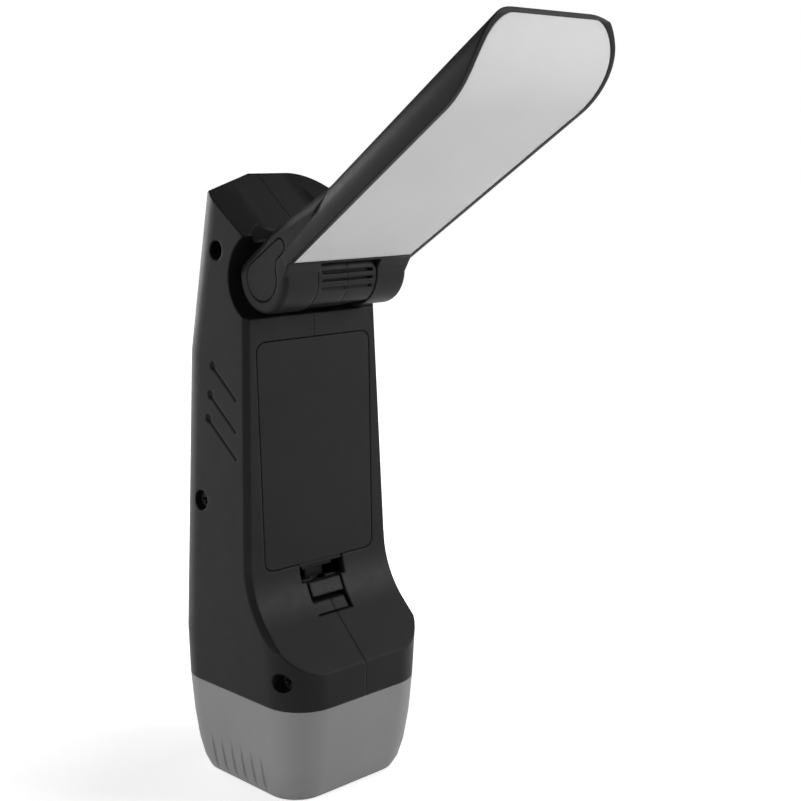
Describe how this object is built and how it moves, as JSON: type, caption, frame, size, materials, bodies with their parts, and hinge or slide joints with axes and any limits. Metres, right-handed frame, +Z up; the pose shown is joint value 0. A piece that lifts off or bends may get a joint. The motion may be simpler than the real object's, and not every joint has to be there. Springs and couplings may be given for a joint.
{
  "type": "folding desk lamp",
  "caption": "Compact battery desk lamp: a black upright housing on a grey foot cap, with a folding arm that carries a long curved light cover.",
  "frame": {"origin": "centre of the flat underside of the foot cap", "axes": "+Z up, -Y towards the front where the battery door is and the arm points, +X to the right seen from the front"},
  "size_m": [0.0572, 0.1289, 0.2261],
  "materials": {
    "housing": "fine satin texture",
    "foot": "satin",
    "light_cover": "milky, satin",
    "white_plastic": "smooth",
    "tray": "satin",
    "switch": "satin",
    "cell": "gloss sleeve",
    "wire": "smooth insulation",
    "board": "smooth",
    "led": "smooth",
    "washer": "smooth",
    "spring_steel": "bright",
    "screw_black": "black oxide",
    "screw_steel": "plain"
  },
  "bodies": {
    "stand": {"left_shell": "housing", "right_shell": "housing", "base_cap": "foot", "shell_screws": "screw_black", "base_screws": "screw_steel", "battery_tray": "tray", "cell_1": "cell", "cell_2": "cell", "cell_3": "cell", "spring_contacts": "spring_steel", "plate_contacts": "spring_steel", "battery_wires": "wire", "driver_board": "board", "board_screws": "screw_steel", "tact_switch": "switch", "hinge_axle": "spring_steel", "friction_washers": "washer", "body_wires": "wire", "latch_spring": "spring_steel"},
    "arm": {"arm_shell": "housing", "diffuser": "light_cover", "reflector": "white_plastic", "led_board": "white_plastic", "leds": "led", "led_board_screws": "screw_steel", "hinge_cap_left": "housing", "hinge_cap_right": "housing"},
    "door": {"battery_door": "housing"},
    "latch": {"door_latch": "housing"},
    "button": {"power_button": "housing", "switch_plunger": "switch"}
  },
  "joints": [
    {"name": "arm_hinge", "type": "hinge", "parent": "stand", "child": "arm", "pos_m": [0, -0.0133, 0.1565], "axis": [1, 0, 0], "range_deg": [-42, 122.3]},
    {"name": "door_hinge", "type": "hinge", "parent": "stand", "child": "door", "pos_m": [0, -0.0083, 0.1371], "axis": [-1, 0, 0], "range_deg": [0, 1.5]},
    {"name": "latch_slide", "type": "slide", "parent": "stand", "child": "latch", "axis": [0, 0, -1], "range_m": [0, 0.0015], "stiffness_N_per_m": 400, "springref_m": -0.0005, "deforming": ["latch_spring"]},
    {"name": "button_press", "type": "slide", "parent": "stand", "child": "button", "axis": [0, -1, 0], "range_m": [0, 0.0006], "stiffness_N_per_m": 1000, "springref_m": -0.0004}
  ]
}
